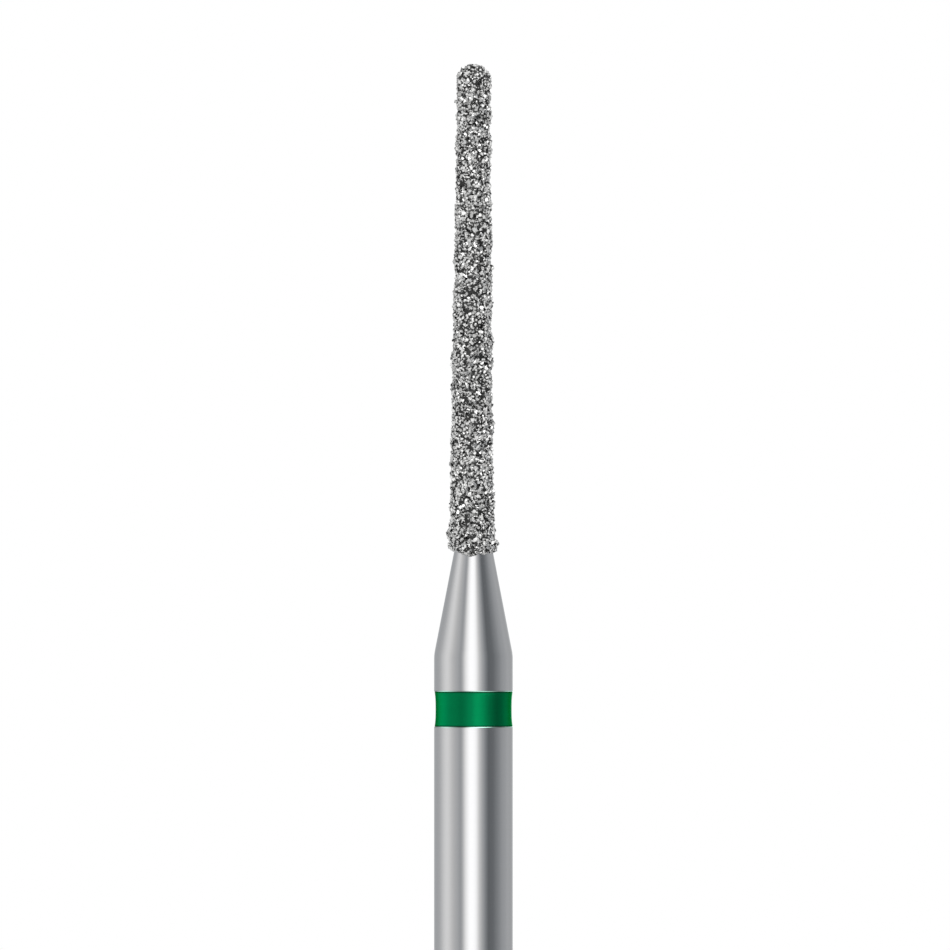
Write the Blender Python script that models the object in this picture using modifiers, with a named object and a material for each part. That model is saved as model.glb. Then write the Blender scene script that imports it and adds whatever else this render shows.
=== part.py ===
"""A friction-grip diamond bur, tip up, with its origin at the centre of the shank's end face.

One turned steel blank carries everything. Its slim core is covered with coarse diamond grit plated in nickel, and a
groove in its shank holds the ring of green lacquer that tells how coarse the grit is.
"""

import math
import random

import bmesh
import bpy
from mathutils import Matrix, Vector

MM = 0.001

# Shank, the plain cylinder that the chuck grips
SHANK_DIAMETER = 1.60 * MM
SHANK_LENGTH = 11.00 * MM
END_CHAMFER = 0.15 * MM

# Neck, the cone between the shank and the head
NECK_LENGTH = 2.15 * MM  # the part that stays bare
NECK_HALF_ANGLE = math.radians(11.0)
SHOULDER_RADIUS = 1.00 * MM  # rounds the edge where the shank becomes the neck
THROAT_RADIUS = 3.00 * MM  # blends the neck into the core

# Core, the tapered pin with a round end that carries the grit
CORE_TIP_RADIUS = 0.22 * MM
CORE_HALF_ANGLE = math.radians(0.73)

# Crust of grit
HEAD_LENGTH = 9.80 * MM  # from the crust's lower edge to the tops of the grains at the tip
NICKEL_THICKNESS = 0.085 * MM  # between the grains
EDGE_ROUNDING = 0.050 * MM  # of the nickel at the crust's lower edge
EDGE_WANDER = 0.015 * MM  # how far that edge strays up and down
GRAIN_WIDTH = 0.130 * MM  # across the flats of a grain's six-sided foot
GRAIN_HEIGHTS = (0.022 * MM, 0.048 * MM)  # how far a grain stands out of the nickel
PROUD_GRAIN_HEIGHT = 0.070 * MM
PROUD_GRAIN_SHARE = 0.06
NICKEL_UNEVENNESS = 0.006 * MM
ROW_SPACING = 1.0  # of the lattice that the grains stand on, as a share of the width of its cells
POINT_STRAY = 0.20  # how far a point strays from its place in the lattice, as a share of its edges
CAP_ANGLE = math.radians(57.0)  # how far down the round end the lattice's hexagonal cap reaches
GRIT_SEED = 17

# Groove in the shank, and the lacquer that fills it
GROOVE_BELOW_NECK = 0.77 * MM  # from the foot of the neck to the groove's upper wall
GROOVE_WIDTH = 0.66 * MM
GROOVE_DEPTH = 0.09 * MM
LIP_CHAMFER = 0.020 * MM
LACQUER_WAIST = 0.025 * MM  # how far the lacquer sinks between the groove's lips
LACQUER_SHORTFALL = 0.003 * MM  # how far its rims stay below the shank's surface

# Between the blank and what is plated or painted on it
SEAT_CLEARANCE = 0.004 * MM

# Fineness of the turned faces
ROUND_STEPS = 48
DOME_STEPS = 5
BLEND_STEPS = 3
WAIST_STEPS = 6
CRUST_DOME_STEPS = 12
WELD_DISTANCE = 1e-7
SHARP_EDGE = math.radians(12.0)

SHANK_RADIUS = SHANK_DIAMETER / 2
CRUST_EDGE_HEIGHT = SHANK_LENGTH + NECK_LENGTH
CORE_TOP = CRUST_EDGE_HEIGHT + HEAD_LENGTH - sum(GRAIN_HEIGHTS) / 2 - NICKEL_THICKNESS - SEAT_CLEARANCE
DOME_CENTRE = Vector((0.0, CORE_TOP - CORE_TIP_RADIUS))
GROOVE_TOP = SHANK_LENGTH - GROOVE_BELOW_NECK
GROOVE_BOTTOM = GROOVE_TOP - GROOVE_WIDTH
GROOVE_FLOOR_RADIUS = SHANK_RADIUS - GROOVE_DEPTH
LIP_RADIUS = SHANK_RADIUS - LIP_CHAMFER
UP = math.pi / 2


def outward(tilt):
    """Direction in which a turned face looks, in radius and height, its tilt being the angle above the horizon."""
    return Vector((math.cos(tilt), math.sin(tilt)))


def downward(tilt):
    """Direction that runs down a face of that tilt."""
    return Vector((math.sin(tilt), -math.cos(tilt)))


def arc(centre, radius, from_tilt, to_tilt, steps):
    """Points of an arc, each with its outward direction. The arc is hollow if the radius is negative."""
    tilts = [from_tilt + (to_tilt - from_tilt) * step / steps for step in range(steps + 1)]
    return [(centre + radius * outward(tilt), outward(tilt)) for tilt in tilts]


def crossing(first, first_tilt, second, second_tilt):
    """Where the face of one tilt through the first point meets that of the other tilt through the second."""
    facing = outward(second_tilt)
    return first + (second - first).dot(facing) / downward(first_tilt).dot(facing) * downward(first_tilt)


def blend(corner, radius, from_tilt, to_tilt):
    """Arc that rounds the corner between two faces, hollow where the lower one looks further up."""
    signed = -radius if to_tilt > from_tilt else radius
    start = corner - radius * math.tan(abs(to_tilt - from_tilt) / 2) * downward(from_tilt)
    return arc(start - signed * outward(from_tilt), signed, from_tilt, to_tilt, BLEND_STEPS)


def head_face(from_tilt, dome_steps):
    """The steel under the crust, from that tilt of its round end down to the crust's lower edge."""
    dome = arc(DOME_CENTRE, CORE_TIP_RADIUS, from_tilt, CORE_HALF_ANGLE, dome_steps)
    neck_foot = Vector((SHANK_RADIUS, SHANK_LENGTH))
    corner = crossing(dome[-1][0], CORE_HALF_ANGLE, neck_foot, NECK_HALF_ANGLE)
    throat = blend(corner, THROAT_RADIUS, CORE_HALF_ANGLE, NECK_HALF_ANGLE)
    edge = Vector((SHANK_RADIUS - NECK_LENGTH * math.tan(NECK_HALF_ANGLE), CRUST_EDGE_HEIGHT))
    return dome + throat + [(edge, outward(NECK_HALF_ANGLE))]


def stood_off(face, distance):
    """The points of a face, moved outwards by a distance."""
    return [point + distance * direction for point, direction in face]


def groove_side(wall_height, away, floor_radius, rim_radius):
    """A groove wall and its chamfered lip, from the floor outwards. The lip leans up if away is 1, down if it is -1."""
    return [
        Vector((floor_radius, wall_height)),
        Vector((LIP_RADIUS, wall_height)),
        Vector((rim_radius, wall_height + away * (rim_radius - LIP_RADIUS))),
    ]


def blank_profile():
    """Outline of the steel blank, from the centre of its end face up to the tip of its core."""
    head = stood_off(head_face(UP, DOME_STEPS), 0.0)
    head[0].x = 0.0
    shoulder = blend(Vector((SHANK_RADIUS, SHANK_LENGTH)), SHOULDER_RADIUS, NECK_HALF_ANGLE, 0.0)
    upper_side = groove_side(GROOVE_TOP, 1, GROOVE_FLOOR_RADIUS, SHANK_RADIUS)
    lower_side = groove_side(GROOVE_BOTTOM, -1, GROOVE_FLOOR_RADIUS, SHANK_RADIUS)
    end = [
        Vector((0.0, 0.0)),
        Vector((SHANK_RADIUS - END_CHAMFER, 0.0)),
        Vector((SHANK_RADIUS, END_CHAMFER)),
    ]
    return end + lower_side[::-1] + upper_side + stood_off(shoulder, 0.0)[::-1] + head[::-1]


def lacquer_profile():
    """Closed outline of the lacquer ring, down its hollow outer side and back up along the groove's floor."""
    floor_radius = GROOVE_FLOOR_RADIUS + SEAT_CLEARANCE
    rim_radius = SHANK_RADIUS - LACQUER_SHORTFALL
    upper_side = groove_side(GROOVE_TOP - SEAT_CLEARANCE, 1, floor_radius, rim_radius)
    lower_side = groove_side(GROOVE_BOTTOM + SEAT_CLEARANCE, -1, floor_radius, rim_radius)
    waist = []
    for step in range(1, WAIST_STEPS):
        share = step / WAIST_STEPS
        sink = Vector((LACQUER_WAIST * math.sin(math.pi * share), 0.0))
        waist.append(upper_side[-1].lerp(lower_side[-1], share) - sink)
    return upper_side[1:] + waist + lower_side[::-1] + upper_side[:1]


def point_down(face_points, distance):
    """The point that lies a distance down a chain of points."""
    for before, after in zip(face_points, face_points[1:]):
        length = (after - before).length
        if distance <= length:
            return before.lerp(after, distance / length)
        distance -= length
    return face_points[-1]


def crust_rows(cells_round):
    """Points on the nickel where the rows of the grit's lattice lie, from the cap's rim to the lower edge's rounding.

    The cells widen with the head, and the rows stand further apart with them.
    """
    nickel = stood_off(head_face(UP - CAP_ANGLE, CRUST_DOME_STEPS), SEAT_CLEARANCE + NICKEL_THICKNESS)
    length = sum((after - before).length for before, after in zip(nickel, nickel[1:])) - EDGE_ROUNDING
    distances = [0.0]
    while distances[-1] < length:
        radius = point_down(nickel, distances[-1]).x
        distances.append(distances[-1] + ROW_SPACING * math.tau * radius / cells_round)
    stretch = length / distances[-1]
    return [point_down(nickel, distance * stretch) for distance in distances]


def crust_cells_round():
    """How many lattice cells go round the head, in sixes, so that a hexagonal cap fits on top."""
    dome_radius = CORE_TIP_RADIUS + SEAT_CLEARANCE + NICKEL_THICKNESS
    mean_radius = dome_radius + (DOME_CENTRE.y - CRUST_EDGE_HEIGHT) / 2 * math.tan(CORE_HALF_ANGLE)
    pitch = GRAIN_WIDTH / math.sqrt(3)
    return 6 * max(2, round(math.tau * mean_radius / pitch / 6))


def crust_profile(rows, cells_round):
    """Outline of the crust: down its rows, round its lower edge and back up over the core to the pole.

    The inner side is a polygon round the core, so it stands off by as much more as its flats fall short of a circle.
    """
    inner = stood_off(head_face(UP, DOME_STEPS), SEAT_CLEARANCE)
    for point in inner:
        point.x /= math.cos(math.pi / cells_round)
    inner[0].x = 0.0
    outer_edge = rows[-1] + EDGE_ROUNDING * downward(NECK_HALF_ANGLE)
    rounding = outer_edge + (inner[-1] - outer_edge).normalized() * EDGE_ROUNDING
    return rows + [rounding] + inner[::-1]


def new_material(name, colour, metallic, roughness):
    """A plain material of that linear colour."""
    material = bpy.data.materials.new(name)
    material.use_nodes = True
    shader = material.node_tree.nodes["Principled BSDF"]
    shader.inputs["Base Color"].default_value = (*colour, 1.0)
    shader.inputs["Metallic"].default_value = metallic
    shader.inputs["Roughness"].default_value = roughness
    return material


def turned(name, profile, steps, closed=False, upward=False):
    """Mesh turned by a Screw modifier. Each of its points keeps its number in the profile as its station.

    The profile runs down the outer side of the shape, or up it, and then its faces are turned round.
    """
    count = len(profile)
    edges = [(index, (index + 1) % count) for index in range(count if closed else count - 1)]
    outline = bpy.data.meshes.new(name + "_outline")
    outline.from_pydata([(point.x, 0.0, point.y) for point in profile], edges, [])
    outline.attributes.new("station", "INT", "POINT").data.foreach_set("value", range(count))
    holder = bpy.data.objects.new(name + "_outline", outline)
    bpy.context.scene.collection.objects.link(holder)
    screw = holder.modifiers.new("Turn", "SCREW")
    screw.steps = screw.render_steps = steps
    screw.use_normal_flip = upward
    screw.use_merge_vertices = True
    screw.merge_threshold = WELD_DISTANCE
    mesh = bpy.data.meshes.new_from_object(holder.evaluated_get(bpy.context.evaluated_depsgraph_get()))
    mesh.name = name
    bpy.data.objects.remove(holder)
    bpy.data.meshes.remove(outline)
    return mesh


def twist_rows(bm, station, last_row, cells_round):
    """Turns each row half a cell further than the one above, so that its points lie between theirs."""
    half_cell = math.pi / cells_round
    for vert in bm.verts:
        vert.co.rotate(Matrix.Rotation(half_cell * min(vert[station], last_row), 3, "Z"))


def wrapped(flat, dome_radius):
    """Place on the round end of a point of the flat hexagon of radius 1. The rings of the hexagon become circles."""
    side_angle = math.tau / 6
    turn = math.atan2(flat.y, flat.x) - side_angle / 2
    corner = math.floor(turn / side_angle)
    past_corner = turn - corner * side_angle
    ring = flat.xy.length * math.cos(side_angle / 2 - past_corner) / math.cos(side_angle / 2)
    along_side = math.sin(past_corner) / (math.sin(past_corner) + math.sin(side_angle - past_corner))
    polar = ring * CAP_ANGLE
    azimuth = (corner + along_side) * side_angle
    level = Vector((math.cos(azimuth), math.sin(azimuth))) * dome_radius * math.sin(polar)
    return Vector((*level, DOME_CENTRE.y + dome_radius * math.cos(polar)))


def add_cap(bm, rings):
    """Starts the mesh with a hexagon of triangles, wrapped over the round end as far as the crust's first row."""
    hexagon = bmesh.ops.create_circle(bm, cap_ends=True, cap_tris=True, segments=6, radius=1.0)["verts"]
    edges = list({edge for vert in hexagon for edge in vert.link_edges})
    bmesh.ops.subdivide_edges(bm, edges=edges, cuts=rings - 1, use_grid_fill=True)
    dome_radius = CORE_TIP_RADIUS + SEAT_CLEARANCE + NICKEL_THICKNESS
    for vert in bm.verts:
        vert.co = wrapped(vert.co, dome_radius)


def scatter_grains(sites, draw):
    """Picks the sites that carry a grain, in a random order, never two side by side."""
    order = list(sites)
    draw.shuffle(order)
    grains = set()
    for vert in order:
        if not any(edge.other_vert(vert) in grains for edge in vert.link_edges):
            grains.add(vert)
    return grains


def grain_height(draw):
    """How far one grain stands out. A few stand out more than the rest."""
    if draw.random() < PROUD_GRAIN_SHARE:
        return PROUD_GRAIN_HEIGHT
    return draw.uniform(*GRAIN_HEIGHTS)


def raise_grains(bm, station, last_row):
    """Raises each grain to a point and roughens the nickel between them."""
    draw = random.Random(GRIT_SEED)
    surface = [vert for vert in bm.verts if vert[station] <= last_row]
    grains = scatter_grains([vert for vert in surface if vert[station] < last_row], draw)
    moves = []
    for vert in surface:
        edge_length = sum(edge.calc_length() for edge in vert.link_edges) / len(vert.link_edges)
        stray = Vector([draw.uniform(-1.0, 1.0) for _ in range(3)])
        stray -= stray.dot(vert.normal) * vert.normal
        rise = grain_height(draw) if vert in grains else draw.uniform(-1.0, 1.0) * NICKEL_UNEVENNESS
        moves.append(stray * POINT_STRAY * edge_length + rise * vert.normal)
    for vert, move in zip(surface, moves):
        vert.co += move
    for vert in bm.verts:
        if vert[station] in (last_row, last_row + 1):
            vert.co.z += draw.uniform(-1.0, 1.0) * EDGE_WANDER


def crust_mesh(name):
    """The shell of nickel and grit: a lattice of triangles, turned below its hexagonal cap, and then roughened."""
    cells_round = crust_cells_round()
    rows = crust_rows(cells_round)
    last_row = len(rows) - 1
    mesh = turned(name, crust_profile(rows, cells_round), cells_round)
    bm = bmesh.new()
    station = bm.verts.layers.int.new("station")
    add_cap(bm, cells_round // 6)
    bm.from_mesh(mesh)
    twist_rows(bm, station, last_row, cells_round)
    bmesh.ops.triangulate(bm, faces=bm.faces, quad_method="SHORT_EDGE")
    bmesh.ops.remove_doubles(bm, verts=bm.verts, dist=WELD_DISTANCE)
    bmesh.ops.recalc_face_normals(bm, faces=bm.faces)
    bm.normal_update()
    raise_grains(bm, station, last_row)
    bm.to_mesh(mesh)
    bm.free()
    return mesh


def place(mesh, material, collection, smooth=True):
    """Makes the piece of that mesh, under the mesh's name, shaded smooth or with its facets showing."""
    if smooth:
        mesh.shade_smooth()
        mesh.set_sharp_from_angle(angle=SHARP_EDGE)
    else:
        mesh.shade_flat()
    mesh.materials.append(material)
    collection.objects.link(bpy.data.objects.new(mesh.name, mesh))


def main():
    """Clears the scene and builds the bur in a collection of its own."""
    for thing in list(bpy.data.objects):
        bpy.data.objects.remove(thing)
    bur = bpy.data.collections.new("dental_bur")
    bpy.context.scene.collection.children.link(bur)
    steel = new_material("stainless_steel", (0.60, 0.60, 0.61), 1.0, 0.22)
    grit = new_material("diamond_in_nickel", (0.34, 0.34, 0.34), 0.6, 0.45)
    lacquer = new_material("green_lacquer", (0.002, 0.21, 0.07), 0.0, 0.25)
    place(turned("steel_blank", blank_profile(), ROUND_STEPS, upward=True), steel, bur)
    place(turned("grit_band", lacquer_profile(), ROUND_STEPS, closed=True), lacquer, bur)
    place(crust_mesh("diamond_coat"), grit, bur, smooth=False)


main()
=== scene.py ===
"""Dresses a diamond bur for its picture: ground steel, a head of plated grit and a ring of green lacquer.

Lengths are in metres, in the part's own frame: +Z runs up the axis to the tip, and the origin is at the
centre of the shank's end face.
"""

import logging
import math
import random
from collections.abc import Sequence
from dataclasses import dataclass, field
from enum import Enum

import bpy
from mathutils import Matrix, Quaternion, Vector, kdtree, noise

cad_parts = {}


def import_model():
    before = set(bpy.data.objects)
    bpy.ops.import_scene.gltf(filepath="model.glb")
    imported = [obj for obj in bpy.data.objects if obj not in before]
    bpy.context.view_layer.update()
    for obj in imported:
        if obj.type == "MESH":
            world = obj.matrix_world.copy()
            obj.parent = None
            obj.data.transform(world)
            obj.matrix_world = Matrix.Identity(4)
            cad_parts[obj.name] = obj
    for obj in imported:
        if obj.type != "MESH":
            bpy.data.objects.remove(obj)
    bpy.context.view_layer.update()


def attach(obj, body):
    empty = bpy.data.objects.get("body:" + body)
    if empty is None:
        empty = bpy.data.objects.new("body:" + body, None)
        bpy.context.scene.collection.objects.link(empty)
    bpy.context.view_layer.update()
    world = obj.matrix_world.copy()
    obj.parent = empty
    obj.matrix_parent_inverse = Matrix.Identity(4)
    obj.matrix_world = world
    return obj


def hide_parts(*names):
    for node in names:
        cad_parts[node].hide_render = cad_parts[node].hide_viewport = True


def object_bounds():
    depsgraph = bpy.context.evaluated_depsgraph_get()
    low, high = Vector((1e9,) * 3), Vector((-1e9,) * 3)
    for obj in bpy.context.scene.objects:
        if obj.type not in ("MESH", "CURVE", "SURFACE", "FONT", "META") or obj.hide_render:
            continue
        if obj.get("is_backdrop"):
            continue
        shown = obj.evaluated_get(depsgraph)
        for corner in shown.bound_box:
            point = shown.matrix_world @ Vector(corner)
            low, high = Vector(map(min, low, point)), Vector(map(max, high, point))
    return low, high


MM = 0.001
BODY = "root"
UP = math.pi / 2
BREAK_STEPS = 3  # straight pieces across a rounded edge
STAGE_SIDES = 96  # straight pieces round the floor and the light tent

log = logging.getLogger("diamond_bur")


# Turning


@dataclass(frozen=True)
class Station:
    """A place on a turned outline.

    Attributes:
        radius: Distance from the axis.
        height: Distance from the shank's end face.
    """

    radius: float
    height: float


class Outline:
    """The stations of a turned piece, in the order in which the lathe reaches them."""

    LONG_RUN = 4  # shortest run that is guarded, in reaches of the guard

    def __init__(self) -> None:
        """Starts with no stations."""
        self.stations: list[Station] = []

    def to(self, radius: float, height: float) -> None:
        """Goes straight to the place at that radius and height."""
        self.stations.append(Station(radius, height))

    def sweep(self, centre: Station, radius: float, start: float, end: float, steps: int) -> None:
        """Goes round an arc.

        Args:
            centre: Middle of the arc.
            radius: Its radius, negative where the outline is hollow.
            start: Angle above the horizon in which the surface looks at the arc's first point.
            end: The same angle at its last point.
            steps: Number of straight pieces that stand for the arc.
        """
        for step in range(steps + 1):
            tilt = start + (end - start) * step / steps
            self.to(centre.radius + radius * math.cos(tilt), centre.height + radius * math.sin(tilt))

    def guarded(self, reach: float) -> "Outline":
        """Adds a station close to each end of every long run, so that smooth shading stays true along it.

        Args:
            reach: Distance of the new stations from the run's ends.

        Returns:
            A new outline with the added stations.
        """
        result = Outline()
        for here, there in zip(self.stations, self.stations[1:]):
            result.to(here.radius, here.height)
            length = math.hypot(there.radius - here.radius, there.height - here.height)
            if length < self.LONG_RUN * reach:
                continue
            for share in (reach / length, 1.0 - reach / length):
                result.to(
                    here.radius + (there.radius - here.radius) * share,
                    here.height + (there.height - here.height) * share,
                )
        result.stations.append(self.stations[-1])
        return result


class Closing(Enum):
    """How the lathe closes a turned piece."""

    POINT = "the last ring shrinks to a point on the axis"
    LOOP = "the last ring meets the first"


@dataclass(frozen=True)
class Lathe:
    """Turns a piece by pulling a ring of points up the axis from station to station.

    Attributes:
        sides: Number of points in the ring.
        weld: Distance below which two points are one.
    """

    sides: int = 192
    weld: float = 1e-7

    def turn(self, name: str, outline: Outline, closing: Closing) -> bpy.types.Object:
        """Turns one piece.

        Args:
            name: Name of the piece.
            outline: Stations that the ring goes through.
            closing: How the piece is closed at the last of them.

        Returns:
            The new piece, in object mode, with its faces pointing out.
        """
        first, *rest = outline.stations
        bpy.ops.object.select_all(action="DESELECT")
        fill = "NGON" if closing is Closing.POINT else "NOTHING"
        bpy.ops.mesh.primitive_circle_add(
            vertices=self.sides, radius=first.radius, fill_type=fill, location=(0.0, 0.0, first.height)
        )
        piece = bpy.context.active_object
        bpy.ops.object.transform_apply(location=True, rotation=True, scale=True)
        bpy.ops.object.mode_set(mode="EDIT")
        bpy.ops.mesh.select_all(action="SELECT")
        before = first
        for station in rest:
            self._pull(before, station)
            before = station
        if closing is Closing.POINT:
            bpy.ops.mesh.merge(type="CENTER")
        else:
            self._pull(before, first)
            bpy.ops.mesh.select_all(action="SELECT")
            bpy.ops.mesh.remove_doubles(threshold=self.weld)
        bpy.ops.mesh.select_all(action="SELECT")
        bpy.ops.mesh.normals_make_consistent(inside=False)
        bpy.ops.object.mode_set(mode="OBJECT")
        piece.name = name
        piece.data.name = name
        return piece

    def _pull(self, before: Station, after: Station) -> None:
        """Extrudes the selected ring from one station to the next.

        Args:
            before: Station at which the ring is.
            after: Station to which it goes.
        """
        bpy.ops.mesh.extrude_region_move(
            TRANSFORM_OT_translate={"value": (0.0, 0.0, after.height - before.height)}
        )
        share = after.radius / before.radius
        bpy.ops.transform.resize(value=(share, share, 1.0), center_override=(0.0, 0.0, after.height))


def apply_modifier(piece: bpy.types.Object, kind: str, **settings: object) -> None:
    """Adds a modifier to a piece and applies it.

    Args:
        piece: The piece.
        kind: Blender's name for the kind of modifier.
        **settings: The modifier's own settings.
    """
    bpy.ops.object.select_all(action="DESELECT")
    piece.select_set(True)
    bpy.context.view_layer.objects.active = piece
    modifier = piece.modifiers.new(kind.title(), kind)
    for setting, value in settings.items():
        setattr(modifier, setting, value)
    bpy.ops.object.modifier_apply(modifier=modifier.name)


def break_edges(piece: bpy.types.Object, width: float, sharper_than: float) -> None:
    """Rounds a piece's sharp edges and shades the rest smooth.

    Args:
        piece: The piece.
        width: How far the rounding reaches on each side of an edge.
        sharper_than: Angle between two faces from which their edge is rounded.
    """
    apply_modifier(
        piece, "BEVEL", width=width, segments=BREAK_STEPS, limit_method="ANGLE", angle_limit=sharper_than
    )
    bpy.ops.object.shade_smooth_by_angle(angle=sharper_than)


# Finishes


class Recipe:
    """A material's nodes, with short ways to add and join them."""

    NOISE_ROUGHNESS = 0.55
    MIX_SHARE, MIX_LOW, MIX_HIGH, MIX_RESULT = 0, 6, 7, 2  # sockets of a Mix node that blends colours

    def __init__(self, name: str) -> None:
        """Starts a material with its shader and nothing else.

        Args:
            name: Name of the material.
        """
        self.material = bpy.data.materials.new(name)
        self.material.use_nodes = True
        self.tree = self.material.node_tree
        self.shader = self.tree.nodes["Principled BSDF"]

    def add(self, kind: str, values: dict[str, object] | None = None, **settings: object) -> bpy.types.Node:
        """Adds a node.

        Args:
            kind: Blender's name for the kind of node.
            values: Value of each input, or the output of another node that feeds it.
            **settings: The node's own settings.

        Returns:
            The new node.
        """
        node = self.tree.nodes.new(kind)
        for setting, value in settings.items():
            setattr(node, setting, value)
        self.feed(node, values or {})
        return node

    def feed(self, node: bpy.types.Node, values: dict[str, object]) -> None:
        """Sets a node's inputs.

        Args:
            node: The node.
            values: Value of each input, or the output of another node that feeds it.
        """
        for name, value in values.items():
            self._plug(node.inputs[name], value)

    def _plug(self, socket: bpy.types.NodeSocket, value: object) -> None:
        """Sets an input to a value, or links it to the output of another node.

        Args:
            socket: The input.
            value: The value, or the output that feeds it.
        """
        if isinstance(value, bpy.types.NodeSocket):
            self.tree.links.new(value, socket)
        else:
            socket.default_value = value

    def place(self) -> bpy.types.NodeSocket:
        """The point of the piece that is shaded."""
        return self.add("ShaderNodeTexCoord").outputs["Object"]

    def height(self) -> bpy.types.NodeSocket:
        """The height of the shaded point."""
        return self.add("ShaderNodeSeparateXYZ", {"Vector": self.place()}).outputs["Z"]

    def speckle(self, where: bpy.types.NodeSocket, scale: float, detail: float = 2.0) -> bpy.types.NodeSocket:
        """Soft noise from 0 to 1.

        Args:
            where: Point at which it is read.
            scale: How many times it changes in a metre.
            detail: How many finer layers it has.

        Returns:
            The noise's output.
        """
        values = {"Vector": where, "Scale": scale, "Detail": detail, "Roughness": self.NOISE_ROUGHNESS}
        return self.add("ShaderNodeTexNoise", values).outputs["Fac"]

    def rings(self, waver: float, pitch: float, detail: float) -> bpy.types.NodeSocket:
        """Soft noise drawn out into rings round the axis.

        Args:
            waver: How many times a ring changes in a metre.
            pitch: Distance from one ring to the next.
            detail: How many finer layers it has.

        Returns:
            The noise's output.
        """
        values = {"Vector": self.place(), "Scale": (waver, waver, 1.0 / pitch)}
        return self.speckle(self.add("ShaderNodeMapping", values).outputs["Vector"], 1.0, detail)

    def near_ends(self, middle: float, clear: float, end: float) -> bpy.types.NodeSocket:
        """How close the shaded point is to the upper or the lower end of a ring.

        Args:
            middle: Height of the ring's middle.
            clear: Distance from there up to which the result is 0.
            end: Distance from there at which the result is 1.

        Returns:
            The closeness's output.
        """
        away = self.reckon("ABSOLUTE", self.reckon("SUBTRACT", self.height(), middle))
        values = {"Value": away, "From Min": clear, "From Max": end}
        return self.add("ShaderNodeMapRange", values, interpolation_type="SMOOTHSTEP").outputs["Result"]

    def between(self, share: bpy.types.NodeSocket, low: float, high: float) -> bpy.types.NodeSocket:
        """A share from 0 to 1 turned into a value from low to high."""
        values = {"Value": share, "To Min": low, "To Max": high}
        return self.add("ShaderNodeMapRange", values).outputs["Result"]

    def blend(
        self,
        share: bpy.types.NodeSocket,
        low: Sequence[float] | bpy.types.NodeSocket,
        high: Sequence[float] | bpy.types.NodeSocket,
    ) -> bpy.types.NodeSocket:
        """Turns a share into a colour.

        Args:
            share: The share, from 0 to 1.
            low: Colour at 0.
            high: Colour at 1.

        Returns:
            The colour's output.
        """
        node = self.add("ShaderNodeMix", data_type="RGBA")
        self._plug(node.inputs[self.MIX_SHARE], share)
        for index, colour in ((self.MIX_LOW, low), (self.MIX_HIGH, high)):
            plain = not isinstance(colour, bpy.types.NodeSocket)
            self._plug(node.inputs[index], (*colour, 1.0) if plain else colour)
        return node.outputs[self.MIX_RESULT]

    def reckon(self, operation: str, *terms: bpy.types.NodeSocket | float) -> bpy.types.NodeSocket:
        """Works out a number from one or more others.

        Args:
            operation: Blender's name for the sum.
            *terms: What it is worked out from.

        Returns:
            The result's output.
        """
        node = self.add("ShaderNodeMath", operation=operation)
        for socket, term in zip(node.inputs, terms):
            self._plug(socket, term)
        return node.outputs[0]

    def relief(self, height: bpy.types.NodeSocket, depth: float) -> bpy.types.NodeSocket:
        """A height from 0 to 1 turned into a bump of that depth."""
        values = {"Height": height, "Distance": depth, "Strength": 1.0}
        return self.add("ShaderNodeBump", values).outputs["Normal"]


@dataclass(frozen=True)
class PaintedStripes:
    """Painted reflection: light and dark stripes round the groove, at set directions from the front, that
    stand for the soft boxes and dark cards mirrored in the shiny band.

    Attributes:
        first: Direction of a light stripe of the painted reflection, in radians from the front towards the
            right.
        mean: Lightness midway between the painted light and dark stripes.
        broad: Number of broad painted light stripes.
        broad_share: How much lighter they are painted.
        fine: Number of narrow painted light stripes.
        fine_share: How much lighter those are painted.
    """

    first: float = math.radians(17.0)
    mean: float = 0.26
    broad: int = 5
    broad_share: float = 0.36
    fine: int = 9
    fine_share: float = 0.25

    def lightness(self, recipe: Recipe) -> bpy.types.NodeSocket:
        """How light the painted reflection is in the direction of the shaded point.

        Args:
            recipe: The material that asks.

        Returns:
            The lightness, which is 1 where the painted reflection is lightest.
        """
        place = recipe.add("ShaderNodeSeparateXYZ", {"Vector": recipe.place()}).outputs
        angle = recipe.reckon("ARCTAN2", place["Y"], place["X"])
        from_first = recipe.reckon("SUBTRACT", angle, self.first - UP)
        # Painted reflection: waves by direction round the axis, fixed to the front, make the light and dark
        # stripes.
        lightness = self.mean
        for count, share in ((self.broad, self.broad_share), (self.fine, self.fine_share)):
            wave = recipe.reckon("COSINE", recipe.reckon("MULTIPLY", from_first, float(count)))
            lightness = recipe.reckon("MULTIPLY_ADD", wave, share, lightness)
        return lightness


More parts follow.
